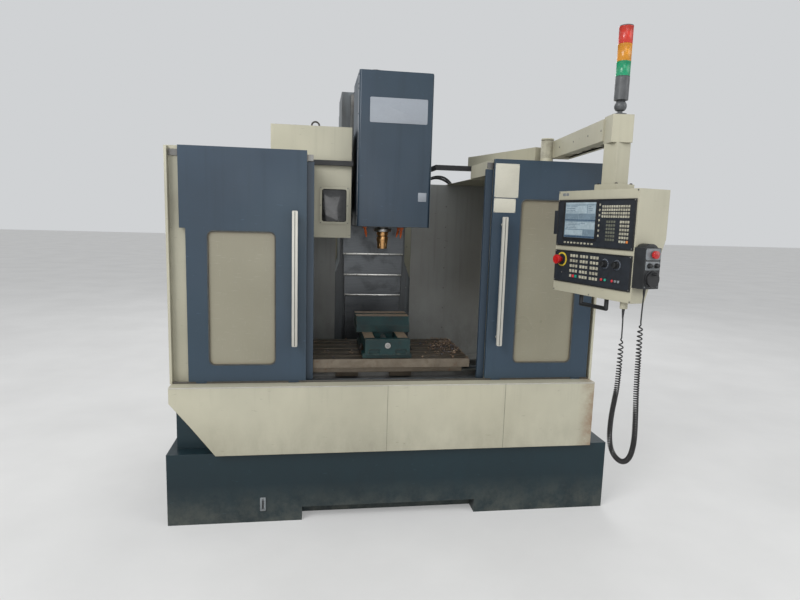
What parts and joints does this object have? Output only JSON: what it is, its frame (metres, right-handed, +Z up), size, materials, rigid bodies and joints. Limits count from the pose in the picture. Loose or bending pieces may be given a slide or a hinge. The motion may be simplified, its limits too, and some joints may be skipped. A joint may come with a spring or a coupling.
{
  "type": "cnc machining center",
  "caption": "Vertical CNC machining centre with a sliding-door enclosure, travelling table with a machine vise, spindle head on a column and a swinging operator pendant.",
  "frame": {"origin": "on the floor, at the centre of the four anchor holes of the levelling pads", "axes": "+X to the operator's right, +Y from the doors to the rear, +Z up; the front faces -Y"},
  "size_m": [2.3, 2.8219, 2.52],
  "materials": {
    "cast_paint": "satin grey machine paint over cast iron",
    "steel": "ground and turned steel",
    "base_paint": "dark teal-blue gloss paint, chipped at the edges",
    "cream_paint": "cream machine paint with a fine texture",
    "slate_paint": "slate blue semi-gloss paint",
    "grey_sheet": "dull grey sheet steel, oily and stained",
    "table_iron": "ground cast iron, oily",
    "vise_green": "dark green paint, machined ways",
    "black_metal": "black baked paint",
    "black_plastic": "black moulded plastic",
    "grey_plastic": "grey moulded plastic",
    "panel_face": "operator panel faces with membrane keys",
    "red_plastic": "glossy red plastic",
    "orange_plastic": "orange jointed plastic hose",
    "lamp_plastic": "red, amber and green lenses on a black foot",
    "pane": "clear plastic window with fine scratches",
    "cord_rubber": "black cord jacket"
  },
  "bodies": {
    "machine_frame": {"bed_casting": "cast_paint", "levelling_pads": "steel", "coolant_tank": "base_paint", "front_trough": "cream_paint", "side_skirts": "base_paint", "side_panels": "cream_paint", "front_panels": "cream_paint", "roof_panels": "cream_paint", "inner_frame": "slate_paint", "splash_guards": "grey_sheet", "guide_rails": "steel", "column_casting": "cast_paint", "feed_motors": "black_metal", "electrical_cabinet": "cream_paint", "magazine_cover": "cream_paint", "magazine_carrier": "cast_paint", "pendant_beam": "cream_paint", "cover_ends": "grey_sheet"},
    "y_screw": {"y_ballscrew": "steel"},
    "z_screw": {"z_ballscrew": "steel"},
    "saddle": {"saddle_casting": "cast_paint", "x_rails_and_motor": "steel", "saddle_covers": "grey_sheet"},
    "x_screw": {"x_ballscrew": "steel"},
    "table": {"work_table": "table_iron", "vise_body": "vise_green"},
    "vise_spindle": {"vise_screw": "steel"},
    "moving_jaw": {"vise_jaw": "vise_green"},
    "head": {"head_casting": "cast_paint", "head_cover": "slate_paint", "spindle_motor": "black_metal", "coolant_nozzles": "orange_plastic", "head_way_cover": "grey_sheet"},
    "spindle": {"spindle_shaft": "steel", "tool_holder": "steel"},
    "front_cover_2": {"y_front_cover_2": "grey_sheet"},
    "front_cover_3": {"y_front_cover_3": "grey_sheet"},
    "rear_cover_2": {"y_rear_cover_2": "grey_sheet"},
    "column_cover_2": {"z_cover_2": "grey_sheet"},
    "column_cover_3": {"z_cover_3": "grey_sheet"},
    "door_left": {"left_door": "slate_paint", "left_window": "pane", "left_handle": "cream_paint"},
    "door_right": {"right_door": "slate_paint", "right_window": "pane", "right_handle": "cream_paint"},
    "door_cabinet": {"cabinet_door": "cream_paint"},
    "tool_disc": {"magazine_disc": "steel"},
    "arm": {"pendant_arm": "cream_paint", "signal_lamp": "lamp_plastic"},
    "pendant": {"pendant_box": "cream_paint", "control_panels": "panel_face", "pendant_handle": "black_metal", "hand_unit": "grey_plastic", "curly_cord": "cord_rubber"},
    "stop_button": {"emergency_stop": "red_plastic"},
    "feed_switch": {"feed_knob": "black_plastic"},
    "spindle_switch": {"spindle_knob": "black_plastic"},
    "pulse_wheel": {"hand_wheel": "black_plastic"},
    "hand_stop_button": {"hand_stop": "red_plastic"}
  },
  "joints": [
    {"name": "y_slide", "type": "slide", "parent": "machine_frame", "child": "saddle", "axis": [0, 1, 0], "range_m": [0, 0.5]},
    {"name": "x_slide", "type": "slide", "parent": "saddle", "child": "table", "axis": [1, 0, 0], "range_m": [-0.35, 0.5]},
    {"name": "z_slide", "type": "slide", "parent": "machine_frame", "child": "head", "axis": [0, 0, 1], "range_m": [-0.42, 0.13]},
    {"name": "y_screw_turn", "type": "hinge", "parent": "machine_frame", "child": "y_screw", "pos_m": [0, 0, 0.525], "axis": [0, 1, 0], "range_deg": [-20, 11270]},
    {"name": "z_screw_turn", "type": "hinge", "parent": "machine_frame", "child": "z_screw", "pos_m": [0, 0.215, 1], "axis": [0, 0, 1], "range_deg": [-9470, 2945]},
    {"name": "x_screw_turn", "type": "hinge", "parent": "saddle", "child": "x_screw", "pos_m": [0, -0.64, 0.68], "axis": [1, 0, 0], "range_deg": [-7895, 11270]},
    {"name": "vise_screw_turn", "type": "hinge", "parent": "table", "child": "vise_spindle", "pos_m": [-0.015, -0.88, 0.895], "axis": [0, 1, 0], "range_deg": [-9320, 1785]},
    {"name": "vise_jaw_slide", "type": "slide", "parent": "table", "child": "moving_jaw", "axis": [0, 1, 0], "range_m": [-0.155, 0.0294]},
    {"name": "spindle_turn", "type": "hinge", "parent": "head", "child": "spindle", "pos_m": [0, -0.39, 1.5], "axis": [0, 0, 1], "continuous": true},
    {"name": "front_cover_2_slide", "type": "slide", "parent": "machine_frame", "child": "front_cover_2", "axis": [0, 1, 0], "range_m": [-0.001, 0.335]},
    {"name": "front_cover_3_slide", "type": "slide", "parent": "machine_frame", "child": "front_cover_3", "axis": [0, 1, 0], "range_m": [-0.001, 0.168]},
    {"name": "rear_cover_2_slide", "type": "slide", "parent": "machine_frame", "child": "rear_cover_2", "axis": [0, 1, 0], "range_m": [-0.001, 0.251]},
    {"name": "column_cover_2_slide", "type": "slide", "parent": "machine_frame", "child": "column_cover_2", "axis": [0, 0, 1], "range_m": [-0.281, 0.088]},
    {"name": "column_cover_3_slide", "type": "slide", "parent": "machine_frame", "child": "column_cover_3", "axis": [0, 0, 1], "range_m": [-0.141, 0.044]},
    {"name": "left_door_slide", "type": "slide", "parent": "machine_frame", "child": "door_left", "axis": [1, 0, 0], "range_m": [0, 0.4635]},
    {"name": "right_door_slide", "type": "slide", "parent": "machine_frame", "child": "door_right", "axis": [-1, 0, 0], "range_m": [0, 0.4635]},
    {"name": "cabinet_door_hinge", "type": "hinge", "parent": "machine_frame", "child": "door_cabinet", "pos_m": [-0.431, 0.951, 1.2], "axis": [0, 0, 1], "range_deg": [0, 110]},
    {"name": "magazine_turn", "type": "hinge", "parent": "machine_frame", "child": "tool_disc", "pos_m": [-0.416, -0.205, 1.74], "axis": [1, 0, 0], "continuous": true},
    {"name": "arm_swing", "type": "hinge", "parent": "machine_frame", "child": "arm", "pos_m": [0.85, -0.73, 1.945], "axis": [0, 0, 1], "range_deg": [-35, 35]},
    {"name": "pendant_swivel", "type": "hinge", "parent": "arm", "child": "pendant", "pos_m": [0.845, -1.5, 1.93], "axis": [0, 0, 1], "range_deg": [-30, 90]},
    {"name": "stop_press", "type": "slide", "parent": "pendant", "child": "stop_button", "axis": [0.9613, 0.2756, 0], "range_m": [0, 0.004]},
    {"name": "feed_switch_turn", "type": "hinge", "parent": "pendant", "child": "feed_switch", "pos_m": [0.77326, -1.60899, 1.394], "axis": [-0.9613, -0.2756, 0], "range_deg": [-135, 135]},
    {"name": "spindle_switch_turn", "type": "hinge", "parent": "pendant", "child": "spindle_switch", "pos_m": [0.79118, -1.67148, 1.394], "axis": [-0.9613, -0.2756, 0], "range_deg": [-135, 135]},
    {"name": "pulse_wheel_turn", "type": "hinge", "parent": "pendant", "child": "pulse_wheel", "pos_m": [0.86726, -1.7953, 1.352], "axis": [0.2756, -0.9613, 0], "continuous": true},
    {"name": "hand_stop_press", "type": "slide", "parent": "pendant", "child": "hand_stop_button", "axis": [-0.2756, 0.9613, 0], "range_m": [0, 0.004]}
  ],
  "couplings": [
    {"joint": "y_screw_turn", "follows": "y_slide", "rad_per_m": 392.7},
    {"joint": "x_screw_turn", "follows": "x_slide", "rad_per_m": 392.7},
    {"joint": "z_screw_turn", "follows": "z_slide", "rad_per_m": 392.7},
    {"joint": "vise_screw_turn", "follows": "vise_jaw_slide", "rad_per_m": 1047.2},
    {"joint": "front_cover_2_slide", "follows": "y_slide", "ratio": 0.66667},
    {"joint": "front_cover_3_slide", "follows": "y_slide", "ratio": 0.33333},
    {"joint": "rear_cover_2_slide", "follows": "y_slide", "ratio": 0.5},
    {"joint": "column_cover_2_slide", "follows": "z_slide", "ratio": 0.66667},
    {"joint": "column_cover_3_slide", "follows": "z_slide", "ratio": 0.33333}
  ]
}
